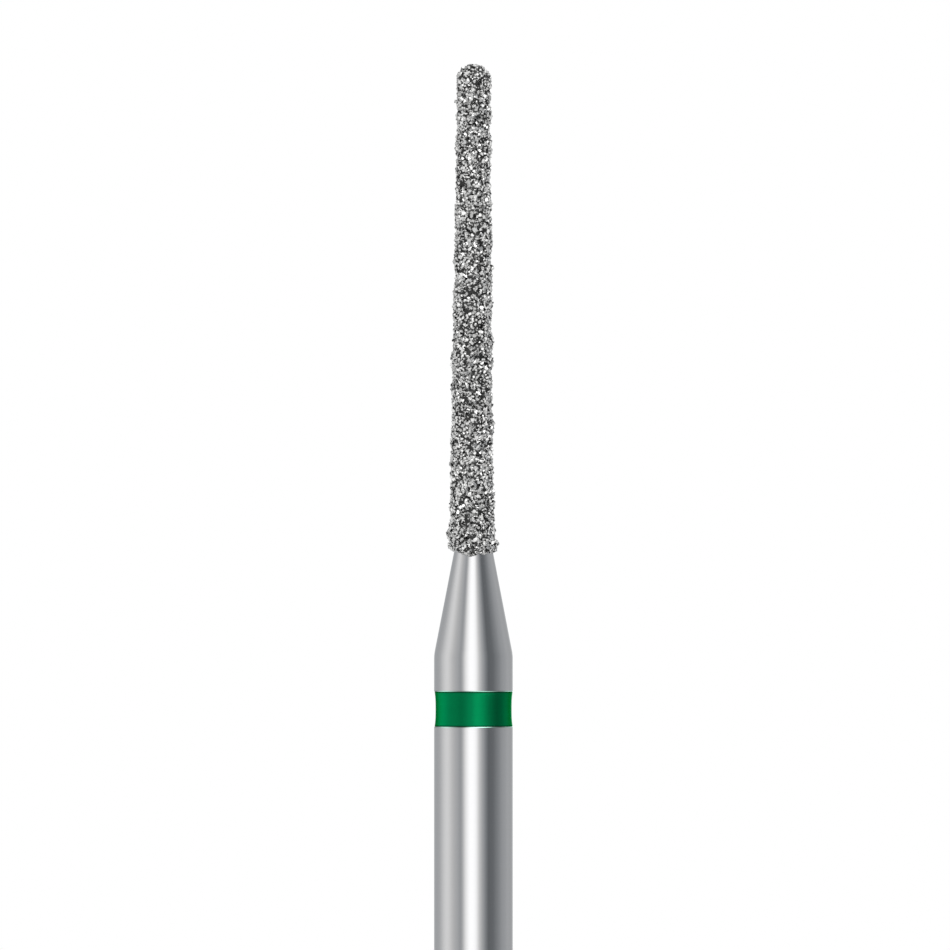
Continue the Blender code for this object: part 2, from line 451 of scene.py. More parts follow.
@dataclass(frozen=True)
class GroundSteel:
    """Stainless steel, ground between centres, with the fine rings that the wheel leaves, and a green film on
    the groove's lips painted with stripes of highlight and shade.

    Attributes:
        colour: What the bare metal reflects.
        dulled: Share of it that the hollows of the grinding rings keep.
        roughness: Lowest and highest roughness.
        rough_patches: How many times the roughness changes in a metre.
        ring_pitch: Distance from one grinding ring to the next.
        ring_depth: Depth of those rings.
        ring_waver: How many times a ring changes in a metre.
        lit_film: Colour of the painted highlight on the groove's lips, tinted green by the film of lacquer
            there.
        shaded_film: Colour of the painted shade between those highlights, tinted by the same film.
        film_stripes: Directions of the painted highlight and shade stripes on the lips.
        groove_middle: Height of the groove's middle.
        film_clear: Distance from there beyond which the metal is bare.
        film_full: Distance from there up to which the film is whole.
    """

    colour: tuple[float, float, float] = (0.600, 0.600, 0.605)
    dulled: float = 0.97
    roughness: tuple[float, float] = (0.06, 0.09)
    rough_patches: float = 3000.0
    ring_pitch: float = 0.025 * MM
    ring_depth: float = 0.00018 * MM
    ring_waver: float = 600.0
    lit_film: tuple[float, float, float] = (0.48, 0.95, 0.78)
    shaded_film: tuple[float, float, float] = (0.02, 0.09, 0.06)
    film_stripes: PaintedStripes = PaintedStripes(first=math.radians(11.0), mean=0.5, broad=6, broad_share=0.5, fine_share=0.0)
    groove_middle: float = 9.90 * MM
    film_clear: float = 0.385 * MM
    film_full: float = 0.352 * MM

    def mix(self) -> bpy.types.Material:
        """Makes the material.

        Returns:
            The material.
        """
        recipe = Recipe("ground_steel")
        rings = recipe.rings(self.ring_waver, self.ring_pitch, detail=3.0)
        patches = recipe.speckle(recipe.place(), self.rough_patches)
        bare = recipe.blend(rings, [part * self.dulled for part in self.colour], self.colour)
        # Painted highlight and shade: light and dark stripes round the lips, fixed to the front, in a green
        # film colour.
        film_and_stripes = recipe.blend(self.film_stripes.lightness(recipe), self.shaded_film, self.lit_film)
        away = recipe.near_ends(self.groove_middle, self.film_full, self.film_clear)
        recipe.feed(
            recipe.shader,
            {
                "Base Color": recipe.blend(away, film_and_stripes, bare),
                "Metallic": 1.0,
                "Roughness": recipe.between(patches, *self.roughness),
                "Normal": recipe.relief(rings, self.ring_depth),
            },
        )
        return recipe.material


@dataclass(frozen=True)
class PlatedNickel:
    """The nickel that holds the grit, plated in small matt nodules, coloured nearly black as painted shade
    between the crystals.

    Attributes:
        dark: Colour in its hollows, nearly black as painted shade.
        bright: Colour on its nodules, kept dark too as painted shade between the crystals.
        nodule: Width of a nodule.
        nodule_relief: Height of a nodule, as a share of its width.
        roughness: How matt it is.
    """

    dark: tuple[float, float, float] = (0.006, 0.006, 0.006)
    bright: tuple[float, float, float] = (0.09, 0.09, 0.088)
    nodule: float = 0.018 * MM
    nodule_relief: float = 0.4
    roughness: float = 0.42

    def mix(self) -> bpy.types.Material:
        """Makes the material.

        Returns:
            The material.
        """
        recipe = Recipe("plated_nickel")
        nodules = recipe.speckle(recipe.place(), 1.0 / self.nodule, detail=3.0)
        recipe.feed(
            recipe.shader,
            {
                # Painted shade: the nickel's colour is kept near black, darkest in the nodules' hollows, for
                # the shade between the crystals.
                "Base Color": recipe.blend(nodules, self.dark, self.bright),
                "Metallic": 1.0,
                "Roughness": self.roughness,
                "Normal": recipe.relief(nodules, self.nodule * self.nodule_relief),
            },
        )
        return recipe.material


@dataclass(frozen=True)
class DiamondFacets:
    """Synthetic diamond under a skin of nickel, each facet lighter or darker than the next.

    Attributes:
        dark: Colour of the darkest facets.
        bright: Colour of the lightest.
        glancing: What a facet reflects of the light that only grazes it.
        metal: How much of a facet the nickel's skin covers.
        roughness: How sharply the facets reflect.
        refraction: Refractive index where the nickel is worn off.
        etch: Width of the growth steps on a facet.
        etch_relief: Height of a step, as a share of its width.
        dark_spot: Distance from one dark spot on the facets to the next.
        dark_spot_range: Part of the noise's range in which a dark spot goes from dark to the facet's own
            tone.
        darkest_whole: How light the darkest facet is where it has no dark spot.
    """

    dark: tuple[float, float, float] = (0.004, 0.004, 0.004)
    bright: tuple[float, float, float] = (0.82, 0.82, 0.81)
    glancing: tuple[float, float, float] = (0.50, 0.50, 0.50)
    metal: float = 0.80
    roughness: float = 0.16
    refraction: float = 1.7
    etch: float = 0.02 * MM
    etch_relief: float = 0.12
    dark_spot: float = 0.06 * MM
    dark_spot_range: tuple[float, float] = (0.37, 0.48)
    darkest_whole: float = 0.55

    def mix(self) -> bpy.types.Material:
        """Makes the material, which reads each facet's own tone.

        Returns:
            The material.
        """
        recipe = Recipe("diamond_facets")
        tone = recipe.add("ShaderNodeAttribute", attribute_name=DiamondGrit.TONE).outputs["Fac"]
        steps = recipe.speckle(recipe.place(), 1.0 / self.etch)
        # Dark spots from noise darken the facets.
        dark_spots = recipe.speckle(recipe.place(), 1.0 / self.dark_spot, detail=1.0)
        values = {"Value": dark_spots, "From Min": self.dark_spot_range[0], "From Max": self.dark_spot_range[1]}
        whole = recipe.add("ShaderNodeMapRange", values).outputs["Result"]
        tone = recipe.reckon("MULTIPLY", recipe.between(tone, self.darkest_whole, 1.0), whole)
        recipe.feed(
            recipe.shader,
            {
                "Base Color": recipe.blend(tone, self.dark, self.bright),
                "Metallic": self.metal,
                "Roughness": self.roughness,
                "IOR": self.refraction,
                "Specular Tint": (*self.glancing, 1.0),
                "Normal": recipe.relief(steps, self.etch * self.etch_relief),
            },
        )
        return recipe.material


@dataclass(frozen=True)
class GreenLacquer:
    """Clear green lacquer baked on bright steel, which shines through it, its colour painted with light and
    dark stripes of reflection.

    Attributes:
        lit_green: Colour on the painted reflection's light stripes.
        shaded_green: Colour on its dark stripes.
        end_shade: Painted shade at its two ends, next to the groove's walls.
        glancing: Colour of the light that only grazes it.
        metal: How much of the light comes back from the steel under it.
        roughness: How sharply it reflects.
        painted_stripes: Stripes of the painted reflection.
        middle: Height of the ring's middle.
        clear: Distance from there within which there is no painted shade.
        half_width: Half the ring's width.
        drag: Distance between the rings that the brush leaves.
        drag_share: How much thinner the lacquer is in those rings.
        drag_relief: Depth of a ring, as a share of that distance.
        drag_waver: How many times a ring changes in a metre.
    """

    lit_green: tuple[float, float, float] = (0.0018, 0.340, 0.113)
    shaded_green: tuple[float, float, float] = (0.0010, 0.130, 0.045)
    end_shade: tuple[float, float, float] = (0.0008, 0.055, 0.022)
    glancing: tuple[float, float, float] = (0.05, 0.75, 0.35)
    metal: float = 0.8
    roughness: float = 0.24
    painted_stripes: PaintedStripes = PaintedStripes()
    middle: float = 9.90 * MM
    clear: float = 0.315 * MM
    half_width: float = 0.350 * MM
    drag: float = 0.05 * MM
    drag_share: float = 0.16
    drag_relief: float = 0.01
    drag_waver: float = 900.0

    def mix(self) -> bpy.types.Material:
        """Makes the material.

        Returns:
            The material.
        """
        recipe = Recipe("green_lacquer")
        rings = recipe.rings(self.drag_waver, self.drag, detail=2.0)
        # Painted reflection stripes, plus the brush's rings where the lacquer is thinner.
        lightness = recipe.reckon("MULTIPLY_ADD", rings, self.drag_share, self.painted_stripes.lightness(recipe))
        colour = recipe.blend(lightness, self.shaded_green, self.lit_green)
        # Painted shade: the colour darkens towards both ends of the ring, next to the groove's walls.
        end_shade_share = recipe.near_ends(self.middle, self.clear, self.half_width)
        recipe.feed(
            recipe.shader,
            {
                "Base Color": recipe.blend(end_shade_share, colour, self.end_shade),
                "Metallic": self.metal,
                "Roughness": self.roughness,
                "Specular IOR Level": 0.0,
                "Specular Tint": (*self.glancing, 1.0),
                "Normal": recipe.relief(rings, self.drag * self.drag_relief),
            },
        )
        return recipe.material


# The bur's own pieces


@dataclass(frozen=True)
class Shape:
    """Sizes that more than one piece shares.

    Attributes:
        shank_radius: Radius of the shank.
        shank_length: Length of the straight shank.
        neck_tilt: Angle of the neck's cone against the axis.
        neck_length: Length of the neck that stays bare.
        throat_radius: Radius of the blend from the neck to the core.
        core_radius: Radius of the core's round end.
        core_tilt: Angle of the core's taper against the axis.
        core_top: Height of the core's tip.
        band_top: Height of the upper end of the lacquer's groove.
        band_bottom: Height of its lower end.
        groove_floor: Radius of its floor.
        blend_steps: Number of straight pieces in a blend between two faces.
        pole_share: Radius of the ring next to the tip's pole, where the ring below it is 1.
    """

    shank_radius: float = 0.80 * MM
    shank_length: float = 11.00 * MM
    neck_tilt: float = math.radians(11.0)
    neck_length: float = 2.15 * MM
    throat_radius: float = 3.00 * MM
    core_radius: float = 0.22 * MM
    core_tilt: float = math.radians(0.73)
    core_top: float = 22.826 * MM
    band_top: float = 10.25 * MM
    band_bottom: float = 9.55 * MM
    groove_floor: float = 0.71 * MM
    blend_steps: int = 6
    pole_share: float = 0.05

    @property
    def crust_edge(self) -> float:
        """Height of the crust's lower edge."""
        return self.shank_length + self.neck_length

    def on_neck(self, climb: float, stand_off: float) -> Station:
        """A place on the neck's cone.

        Args:
            climb: Distance up the cone from the crust's lower edge.
            stand_off: Distance from the steel.

        Returns:
            That place.
        """
        edge_radius = self.shank_radius - self.neck_length * math.tan(self.neck_tilt)
        lean = math.sin(self.neck_tilt)
        rise = math.cos(self.neck_tilt)
        return Station(
            edge_radius + stand_off * rise - climb * lean,
            self.crust_edge + stand_off * lean + climb * rise,
        )

    def climb_head(self, outline: Outline, stand_off: float, rows: int, dome_steps: int) -> None:
        """Adds the head's surface to an outline, from the neck's end up to just short of the pole.

        Args:
            outline: The outline that grows.
            stand_off: Distance of the surface from the steel core.
            rows: Number of steps up the taper.
            dome_steps: Number of steps round the end.
        """
        dome = Station(0.0, self.core_top - self.core_radius)
        reach = self.core_radius / math.cos(self.core_tilt)
        foot = self.shank_radius + self.shank_length * math.tan(self.neck_tilt)
        top = reach + dome.height * math.tan(self.core_tilt)
        corner = (foot - top) / (math.tan(self.neck_tilt) - math.tan(self.core_tilt))
        half_turn = (self.neck_tilt - self.core_tilt) / 2
        run = self.throat_radius * math.tan(half_turn)
        corner_radius = foot - corner * math.tan(self.neck_tilt)
        start = Station(
            corner_radius + run * math.sin(self.neck_tilt), corner - run * math.cos(self.neck_tilt)
        )
        centre = Station(
            start.radius + self.throat_radius * math.cos(self.neck_tilt),
            start.height + self.throat_radius * math.sin(self.neck_tilt),
        )
        hollow = stand_off - self.throat_radius
        outline.sweep(centre, hollow, self.neck_tilt, self.core_tilt, self.blend_steps)
        low = outline.stations[-1]
        high_radius = (self.core_radius + stand_off) * math.cos(self.core_tilt)
        high_height = dome.height + (self.core_radius + stand_off) * math.sin(self.core_tilt)
        for row in range(1, rows):
            share = row / rows
            outline.to(
                low.radius + (high_radius - low.radius) * share,
                low.height + (high_height - low.height) * share,
            )
        last = UP - (UP - self.core_tilt) / (dome_steps + 1)
        outline.sweep(dome, self.core_radius + stand_off, self.core_tilt, last, dome_steps)
        outline.to(outline.stations[-1].radius * self.pole_share, dome.height + self.core_radius + stand_off)


@dataclass
class SteelBlank:
    """The turned steel that carries everything: shank, groove, neck and core.

    Attributes:
        shape: The bur's sizes.
        finish: What it is made of.
        end_chamfer: Width of the chamfer round the shank's end.
        shoulder_radius: Radius where the shank becomes the neck.
        lip_radius: Radius of the groove's polished lips.
        edge_break: How far the sharp edges are rounded.
        sharp: Angle from which an edge is sharp.
        guard: Distance from an edge within which smooth shading may bend.
        rows: Number of steps up the core.
        dome_steps: Number of steps round its end.
    """

    shape: Shape
    finish: GroundSteel = field(default_factory=GroundSteel)
    end_chamfer: float = 0.15 * MM
    shoulder_radius: float = 1.00 * MM
    lip_radius: float = 0.022 * MM
    edge_break: float = 0.006 * MM
    sharp: float = math.radians(32.0)
    guard: float = 0.02 * MM
    rows: int = 12
    dome_steps: int = 8

    def outline(self) -> Outline:
        """The outline from the shank's end face up to the tip of the core.

        Returns:
            The outline, with guards.
        """
        s = self.shape
        outline = Outline()
        outline.to(s.shank_radius - self.end_chamfer, 0.0)
        outline.to(s.shank_radius, self.end_chamfer)
        lip_centre = s.shank_radius - self.lip_radius
        lower_lip = Station(lip_centre, s.band_bottom - self.lip_radius)
        outline.sweep(lower_lip, self.lip_radius, 0.0, UP, s.blend_steps)
        outline.to(s.groove_floor, s.band_bottom)
        outline.to(s.groove_floor, s.band_top)
        upper_lip = Station(lip_centre, s.band_top + self.lip_radius)
        outline.sweep(upper_lip, self.lip_radius, -UP, 0.0, s.blend_steps)
        run = self.shoulder_radius * math.tan(s.neck_tilt / 2)
        centre = Station(s.shank_radius - self.shoulder_radius, s.shank_length - run)
        outline.sweep(centre, self.shoulder_radius, 0.0, s.neck_tilt, s.blend_steps)
        s.climb_head(outline, 0.0, self.rows, self.dome_steps)
        return outline.guarded(self.guard)

    def build(self) -> bpy.types.Object:
        """Turns the blank, breaks its edges and dresses it.

        Returns:
            The finished piece.
        """
        piece = Lathe().turn("turned_blank", self.outline(), Closing.POINT)
        break_edges(piece, self.edge_break, self.sharp)
        piece.data.materials.append(self.finish.mix())
        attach(piece, BODY)
        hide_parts("steel_blank")
        return piece


@dataclass
class LacquerRing:
    """The ring of green lacquer in the shank's groove.

    Attributes:
        shape: The bur's sizes.
        finish: What it is made of.
        clearance: Gap between the lacquer and the steel.
        waist: How far the lacquer sinks between the groove's lips.
        squareness: Power that gives its hollow side its form, where 2 is a parabola.
        shortfall: How far its rims stay below the shank's surface.
        edge_break: How far its sharp edges are rounded.
        sharp: Angle from which an edge is sharp.
        steps: Number of straight pieces that make its hollow side.
        guard: Distance from an edge within which smooth shading may bend.
    """

    shape: Shape
    finish: GreenLacquer = field(default_factory=GreenLacquer)
    clearance: float = 0.002 * MM
    waist: float = 0.020 * MM
    squareness: int = 3
    shortfall: float = 0.010 * MM
    edge_break: float = 0.002 * MM
    sharp: float = math.radians(40.0)
    steps: int = 24
    guard: float = 0.006 * MM

    def outline(self) -> Outline:
        """The outline up the hollow outer side and back down along the groove's floor.

        Returns:
            The outline, with guards.
        """
        s = self.shape
        floor = s.groove_floor + self.clearance
        rim = s.shank_radius - self.shortfall
        bottom = s.band_bottom + self.clearance
        top = s.band_top - self.clearance
        outline = Outline()
        outline.to(floor, bottom)
        for step in range(self.steps + 1):
            share = step / self.steps
            sink = self.waist * (1.0 - abs(2.0 * share - 1.0) ** self.squareness)
            outline.to(rim - sink, bottom + (top - bottom) * share)
        outline.to(floor, top)
        return outline.guarded(self.guard)

    def build(self) -> bpy.types.Object:
        """Turns the ring and dresses it.

        Returns:
            The finished piece.
        """
        piece = Lathe().turn("lacquer_ring", self.outline(), Closing.LOOP)
        break_edges(piece, self.edge_break, self.sharp)
        piece.data.materials.append(self.finish.mix())
        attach(piece, BODY)
        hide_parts("grit_band")
        return piece


@dataclass(frozen=True)
class Seat:
    """Where one crystal is held.

    Attributes:
        place: Point on the nickel under the middle of the crystal.
        normal: Direction in which the nickel looks there.
        size: Width of the crystal.
        sink: How far the crystal's middle lies below the nickel.
    """

    place: Vector
    normal: Vector
    size: float
    sink: float


@dataclass(frozen=True)
class Knot:
    """A place where grit and nickel have gathered to a low lump.

    Attributes:
        height: Height of its middle.
        side: Its side, in degrees round the axis.
        growth: How far it stands out.
    """

    height: float
    side: float
    growth: float


@dataclass
class NickelBond:
    """The plated nickel shell that holds the grit on the core.

    Attributes:
        shape: The bur's sizes.
        finish: What it is made of.
        clearance: Gap between the nickel and the core.
        thickness: Thickness of the nickel between the crystals.
        sides: Number of points round the shell before it is subdivided.
        rows: Number of steps up its outer side before that.
        dome_steps: Number of steps round its outer end.
        edge_steps: Number of steps round its lower edge.
        inner_steps: Number of steps up its inner side, and again round its inner end.
        levels: How many times it is subdivided.
        unevenness: How far the plating's surface rises and falls.
        coarse: Distance from one of its coarse bumps to the next.
        fine: Distance from one of its fine bumps to the next.
        fine_share: Height of the fine bumps, where the coarse bumps' height is 1.
        patches: How far whole patches of the crust rise and fall, less and less towards the tip.
        patch_width: Distance from one such patch to the next.
        thinnest: Least share of the nickel's thickness that they leave.
        collar: How far the nickel climbs up the crystals.
        collar_fade: How fast that dies away from a crystal's middle.
        hang: How much lower the shell's edge hangs in front and behind than at the sides.
        wander: How far that edge strays up and down.
        wander_width: Distance from one such stray to the next.
        loose: Height above the edge in which the shell follows its straying.
        swell: How much thicker the crust is at the tip than lower down.
        swell_from: Height from which it thickens.
        lean: How much thicker it is on the left than on the right where it leans most.
        lean_height: Height where it leans most.
        lean_reach: Distance above and below in which the lean dies away.
        knots: Lumps round the foot of the crust.
        knot_reach: Distance from a knot's middle in which it dies away.
        outward: Least cosine of the angle between the way out of the core and an outer face's normal.
    """

    shape: Shape
    finish: PlatedNickel = field(default_factory=PlatedNickel)
    clearance: float = 0.002 * MM
    thickness: float = 0.072 * MM
    sides: int = 48
    rows: int = 84
    dome_steps: int = 5
    edge_steps: int = 4
    inner_steps: int = 4
    levels: int = 2
    unevenness: float = 0.010 * MM
    coarse: float = 0.05 * MM
    fine: float = 0.022 * MM
    fine_share: float = 0.5
    patches: float = 0.060 * MM
    patch_width: float = 0.33 * MM
    thinnest: float = 0.32
    collar: float = 0.010 * MM
    collar_fade: float = 2.0
    hang: float = 0.10 * MM
    wander: float = 0.035 * MM
    wander_width: float = 0.16 * MM
    loose: float = 0.30 * MM
    swell: float = 0.028 * MM
    swell_from: float = 21.4 * MM
    lean: float = 0.034 * MM
    lean_height: float = 15.6 * MM
    lean_reach: float = 3.0 * MM
    knots: tuple[Knot, ...] = (
        Knot(13.43 * MM, 180.0, 0.085 * MM),
        Knot(13.24 * MM, -6.0, 0.028 * MM),
        Knot(13.30 * MM, 55.0, 0.030 * MM),
        Knot(13.40 * MM, 112.0, 0.050 * MM),
        Knot(13.34 * MM, -122.0, 0.020 * MM),
        Knot(13.22 * MM, -52.0, 0.025 * MM),
    )
    knot_reach: float = 0.14 * MM
    outward: float = 0.1

    def outline(self) -> Outline:
        """The outline from the pole inside, round the lower edge and up the outer side to the pole.

        Returns:
            The outline.
        """
        s = self.shape
        inner = Outline()
        foot = s.on_neck(0.0, self.clearance)
        inner.to(foot.radius, foot.height)
        s.climb_head(inner, self.clearance, self.inner_steps, self.inner_steps)
        outline = Outline()
        outline.stations = inner.stations[::-1]
        middle = s.on_neck(self.thickness, self.clearance)
        outline.sweep(middle, self.thickness, s.neck_tilt - UP, s.neck_tilt, self.edge_steps)
        outline.stations.pop(len(inner.stations))
        s.climb_head(outline, self.clearance + self.thickness, self.rows, self.dome_steps)
        return outline

    def build(self) -> bpy.types.Object:
        """Turns the smooth shell, subdivides it, lets its lower edge stray and its thickness vary.

        Returns:
            The shell, not yet roughened.
        """
        piece = Lathe(sides=self.sides).turn("nickel_bond", self.outline(), Closing.POINT)
        apply_modifier(piece, "SUBSURF", levels=self.levels, render_levels=self.levels)
        bpy.ops.object.shade_smooth()
        points = self._points(piece)
        for place, normal in points:
            grown = normal * self._growth(place, normal) if self.is_outer(place, normal) else Vector()
            across = Vector((place.x, place.y, 0.0))
            slack = max(0.0, 1.0 - (place.z - self.shape.crust_edge) / self.loose)
            facing = abs(across.normalized().y)
            stray = self.wander * noise.noise(across / self.wander_width)
            drop = slack * (self.hang * facing**2 + stray)
            place += grown + across.normalized() * (drop * math.sin(self.shape.neck_tilt))
            place.z -= drop * math.cos(self.shape.neck_tilt)
        self._move(piece, points)
        return piece

    def _growth(self, place: Vector, normal: Vector) -> float:
        """How much thicker than usual the crust is at a place on its outer side.

        Args:
            place: The place.
            normal: Direction in which the crust looks there.

        Returns:
            The added thickness, which is negative where the crust is thinner.
        """
        climbed = max(0.0, (place.z - self.swell_from) / (self.shape.core_top - self.swell_from))
        from_lean = (place.z - self.lean_height) / self.lean_reach
        growth = self.swell * climbed - self.lean * normal.x * math.exp(-(from_lean**2))
        growth += self.patches * (1.0 - climbed) * noise.noise(place / self.patch_width)
        radius = math.hypot(place.x, place.y)
        for knot in self.knots:
            side = math.radians(knot.side)
            middle = Vector((radius * math.cos(side), radius * math.sin(side), knot.height))
            growth += knot.growth * math.exp(-(((place - middle).length / self.knot_reach) ** 2))
        return max(growth, self.thickness * (self.thinnest - 1.0))

    def is_outer(self, place: Vector, normal: Vector) -> bool:
        """Whether a face at that place, with that normal, is on the shell's outer side."""
        core_centre = Vector((0.0, 0.0, min(place.z, self.shape.core_top - self.shape.core_radius)))
        return (place - core_centre).normalized().dot(normal) > self.outward

    def roughen(self, piece: bpy.types.Object, seats: Sequence[Seat]) -> None:
        """Makes the plating uneven and lets it climb up the crystals.

        Args:
            piece: The shell.
            seats: Where the crystals are held.
        """
        tree = kdtree.KDTree(len(seats))
        for index, seat in enumerate(seats):
            tree.insert(seat.place, index)
        tree.balance()
        points = self._points(piece)
        for place, normal in points:
            if not self.is_outer(place, normal):
                continue
            _, index, distance = tree.find(place)
            reach = seats[index].size / 2
            climb = self.collar * math.exp(-((distance / reach) ** 2) * self.collar_fade)
            bump = noise.noise(place / self.coarse) + self.fine_share * noise.noise(place / self.fine)
            place += normal * (climb + bump * self.unevenness)
        self._move(piece, points)

    def _points(self, piece: bpy.types.Object) -> list[tuple[Vector, Vector]]:
        """The shell's points, each with the direction in which the shell looks there."""
        return [(vert.co.copy(), vert.normal.copy()) for vert in piece.data.vertices]

    def _move(self, piece: bpy.types.Object, points: Sequence[tuple[Vector, Vector]]) -> None:
        """Moves the shell's points to new places."""
        piece.data.vertices.foreach_set("co", [value for place, _ in points for value in place])
        piece.data.update()

    def dress(self, piece: bpy.types.Object) -> None:
        """Gives the shell its material and its place on the bur.

        Args:
            piece: The shell.
        """
        piece.data.materials.append(self.finish.mix())
        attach(piece, BODY)
        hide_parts("diamond_coat")


class Habit(Enum):
    """The forms in which the crystals are found, with how deep their corners are cut off."""

    BLOCK = 0.22
    CUBE_OCTAHEDRON = 0.38
    OCTAHEDRON = 0.12
    SPLINTER = 0.30


@dataclass
class DiamondGrit:
    """The coarse diamond crystals that stand out of the nickel.

    Attributes:
        bond: The shell that holds them.
        finish: What they are made of.
        spacing: Least distance between the middles of two crystals.
        tries: Number of tries at a seat for each square of the spacing's width.
        sizes: Width of the smallest and the largest.
        tip_share: How wide the crystals on the round tip are, where the others' width is 1.
        tip_from: Height from which a crystal is on the tip.
        stand: How far a crystal stands out of the nickel, least and most.
        proud: Height, side in degrees round the axis, and sink of single crystals that stand out far.
        slimness: Least and most that a crystal is stretched along each of its own three directions.
        bias: Weights of the light and of the dark tones, where two ones would make all as frequent.
        masters: How many crystals of each habit are cut, to be copied.
        cube: Size of the cube that a crystal is cut from, where its own width is about 1.
        octahedron: Radius of the octahedron that some are cut from instead.
        splinter: How far the cube is stretched for a splinter.
        cuts: How many random cuts a crystal gets.
        cut_depth: Least and most distance of such a cut from the crystal's middle.
        seed: Start of the random choices.
        divide: Height that divides the crystals into a lower and an upper piece.
    """

    TONE = "tone"

    bond: NickelBond
    finish: DiamondFacets = field(default_factory=DiamondFacets)
    spacing: float = 0.052 * MM
    tries: int = 24
    sizes: tuple[float, float] = (0.068 * MM, 0.115 * MM)
    tip_share: float = 0.85
    tip_from: float = 22.45 * MM
    stand: tuple[float, float] = (0.010 * MM, 0.054 * MM)
    proud: tuple[tuple[float, float, float], ...] = (
        (22.84 * MM, 180.0, 0.0),
        (18.83 * MM, 0.0, -0.042 * MM),
        (13.24 * MM, -8.0, 0.0),
        (16.15 * MM, 180.0, 0.0),
        (13.42 * MM, 180.0, 0.0),
    )
    slimness: tuple[tuple[float, float], ...] = ((0.80, 1.0), (0.80, 1.0), (1.0, 1.35))
    bias: tuple[float, float] = (0.62, 0.55)
    masters: int = 4
    cube: float = 0.86
    octahedron: float = 0.62
    splinter: tuple[float, float, float] = (0.62, 0.80, 1.25)
    cuts: int = 3
    cut_depth: tuple[float, float] = (0.30, 0.42)
    seed: int = 17
    divide: float = 17.8 * MM

    def find_seats(self, shell: bpy.types.Object) -> list[Seat]:
        """Scatters the crystals over the shell's outer side, none closer to another than the spacing.

        Args:
            shell: The shell, not yet roughened.

        Returns:
            A seat for each crystal.
        """
        draw = random.Random(self.seed)
        mesh = shell.data
        faces = [face for face in mesh.polygons if self.bond.is_outer(face.center, face.normal)]
        areas = [face.area for face in faces]
        tries = round(sum(areas) / self.spacing**2 * self.tries)
        taken: dict[tuple[int, ...], list[Vector]] = {}
        seats: list[Seat] = []
        for face in draw.choices(faces, areas, k=tries):
            corners = [mesh.vertices[index].co for index in face.vertices]
            place = self._inside(corners, draw)
            cell = tuple(math.floor(value / self.spacing) for value in place)
            near = (
                other
                for x in (-1, 0, 1)
                for y in (-1, 0, 1)
                for z in (-1, 0, 1)
                for other in taken.get((cell[0] + x, cell[1] + y, cell[2] + z), ())
            )
            if any((other - place).length < self.spacing for other in near):
                continue
            taken.setdefault(cell, []).append(place)
            size = draw.uniform(*self.sizes) * (self.tip_share if place.z > self.tip_from else 1.0)
            seats.append(Seat(place, face.normal.copy(), size, size / 2 - draw.uniform(*self.stand)))
        return seats + self._proud_seats(shell)

    def _inside(self, corners: Sequence[Vector], draw: random.Random) -> Vector:
        """A random point of a face with those corners.

        Args:
            corners: The face's corners.
            draw: Source of the random shares.

        Returns:
            The point.
        """
        shares = [draw.random() for _ in corners]
        total = sum(shares)
        return sum((corner * share for corner, share in zip(corners, shares)), Vector()) / total

    def _proud_seats(self, shell: bpy.types.Object) -> list[Seat]:
        """Seats of the single crystals that stand out far.

        Args:
            shell: The shell, not yet roughened.

        Returns:
            A seat for each of them.
        """
        seats = []
        for height, side, sink in self.proud:
            away = Vector((math.cos(math.radians(side)), math.sin(math.radians(side)), 0.0))
            found, place, normal, _ = shell.ray_cast(away * MM + Vector((0.0, 0.0, height)), -away)
            if found:
                seats.append(Seat(place, normal, self.sizes[1], sink))
        return seats

    def cut_crystal(self, habit: Habit, draw: random.Random) -> bpy.types.Object:
        """Cuts one crystal of about unit width.

        Args:
            habit: Its form.
            draw: Source of the random cuts.

        Returns:
            The crystal.
        """
        bpy.ops.object.select_all(action="DESELECT")
        if habit is Habit.OCTAHEDRON:
            bpy.ops.mesh.primitive_uv_sphere_add(segments=4, ring_count=2, radius=self.octahedron)
        else:
            bpy.ops.mesh.primitive_cube_add(size=self.cube)
        crystal = bpy.context.active_object
        bpy.ops.object.mode_set(mode="EDIT")
        bpy.ops.mesh.select_all(action="SELECT")
        if habit is Habit.SPLINTER:
            bpy.ops.transform.resize(value=self.splinter, center_override=(0.0, 0.0, 0.0))
        bpy.ops.mesh.bevel(offset=habit.value, affect="VERTICES")
        for _ in range(self.cuts):
            away = Vector([draw.gauss(0.0, 1.0) for _ in range(3)]).normalized()
            bpy.ops.mesh.select_all(action="SELECT")
            point = away * draw.uniform(*self.cut_depth)
            bpy.ops.mesh.bisect(plane_co=point, plane_no=away, use_fill=True, clear_outer=True)
        bpy.ops.mesh.select_all(action="SELECT")
        bpy.ops.mesh.normals_make_consistent(inside=False)
        bpy.ops.object.mode_set(mode="OBJECT")
        crystal.data.attributes.new(self.TONE, "FLOAT", "FACE")
        return crystal

    def build(self, seats: Sequence[Seat]) -> list[bpy.types.Object]:
        """Cuts the crystals and plants them.

        Args:
            seats: Where they go.

        Returns:
            The lower and the upper piece of the grit.
        """
        draw = random.Random(self.seed + 1)
        masters = [self.cut_crystal(habit, draw) for habit in Habit for _ in range(self.masters)]
        finish = self.finish.mix()
        lower = [seat for seat in seats if seat.place.z < self.divide]
        upper = [seat for seat in seats if seat.place.z >= self.divide]
        pieces = []
        for name, part in (("lower_grit", lower), ("upper_grit", upper)):
            piece = self._join(name, [self._plant(draw.choice(masters), seat, draw) for seat in part])
            piece.data.materials.append(finish)
            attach(piece, BODY)
            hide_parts("diamond_coat")
            pieces.append(piece)
        for master in masters:
            bpy.data.objects.remove(master)
        return pieces

    def _join(self, name: str, crystals: Sequence[bpy.types.Object]) -> bpy.types.Object:
        """Joins crystals into one piece.

        Args:
            name: Name of the piece.
            crystals: The crystals.

        Returns:
            The piece.
        """
        bpy.ops.object.select_all(action="DESELECT")
        for crystal in crystals:
            crystal.select_set(True)
        bpy.context.view_layer.objects.active = crystals[0]
        bpy.ops.object.join()
        bpy.ops.object.transform_apply(location=True, rotation=True, scale=True)
        bpy.ops.object.shade_flat()
        piece = bpy.context.active_object
        piece.name = name
        piece.data.name = name
        return piece

